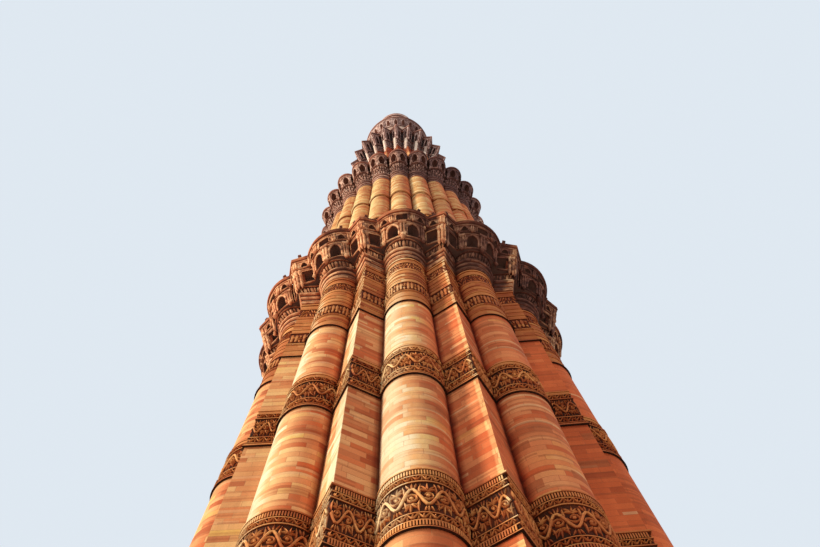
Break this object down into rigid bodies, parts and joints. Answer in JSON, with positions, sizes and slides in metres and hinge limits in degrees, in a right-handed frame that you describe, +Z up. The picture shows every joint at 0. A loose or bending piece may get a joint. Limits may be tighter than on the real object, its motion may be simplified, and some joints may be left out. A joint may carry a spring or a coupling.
{
  "type": "fluted stone minaret, 1:2 scale model",
  "caption": "Tall tapering minaret with alternating round and angular flutes, carved relief bands and corbelled galleries, standing on a low plinth; hollow inside, at half size.",
  "frame": {"origin": "middle of the plinth's underside, which is the flat face it is held by", "axes": "+Z up the tower, -Y towards the front flute seen in the picture, +Y towards the doorways"},
  "size_m": [7.19, 7.19, 36.285],
  "materials": {
    "sandstone": "dressed blocks in thin courses, tan to red-brown",
    "carved_stone": "deeply carved, weathered ochre brown with dark hollows",
    "gallery_stone": "carved niches, weathered dark red-brown",
    "pale_stone": "smooth dressed pale yellow blocks",
    "dusky_stone": "weathered dusky red-brown blocks"
  },
  "bodies": {
    "root": {"plinth": "sandstone", "first_wall_1": "sandstone", "first_wall_2": "sandstone", "first_wall_3": "sandstone", "first_wall_4": "sandstone", "first_wall_6": "sandstone", "first_wall_7": "sandstone", "first_wall_8": "sandstone", "first_wall_over_door": "sandstone", "door_jamb_east": "sandstone", "door_jamb_west": "sandstone", "base_band": "carved_stone", "second_band": "carved_stone", "third_band": "carved_stone", "fourth_band": "carved_stone", "fifth_band": "carved_stone", "sixth_band": "carved_stone", "first_rings": "carved_stone", "first_leaf_course": "carved_stone", "second_rings": "carved_stone", "second_leaf_course": "carved_stone", "second_low_band": "carved_stone", "third_wall_band": "carved_stone", "first_niche_course": "gallery_stone", "first_upper_niches": "gallery_stone", "first_gallery_slab": "gallery_stone", "second_niche_course": "gallery_stone", "second_gallery_slab": "gallery_stone", "second_wall": "pale_stone", "second_tall_band": "pale_stone", "fourth_wall": "pale_stone", "third_wall": "sandstone", "fourth_wall_band": "sandstone", "fifth_wall_band": "sandstone", "third_rings": "dusky_stone", "third_leaf_course": "dusky_stone", "third_niche_course": "dusky_stone", "third_gallery_slab": "dusky_stone", "fourth_niche_course": "dusky_stone", "fourth_gallery_slab": "dusky_stone", "fifth_wall": "dusky_stone", "roof": "dusky_stone", "roof_stump": "dusky_stone", "fourth_upper_wall": "pale_stone"}
  },
  "joints": []
}
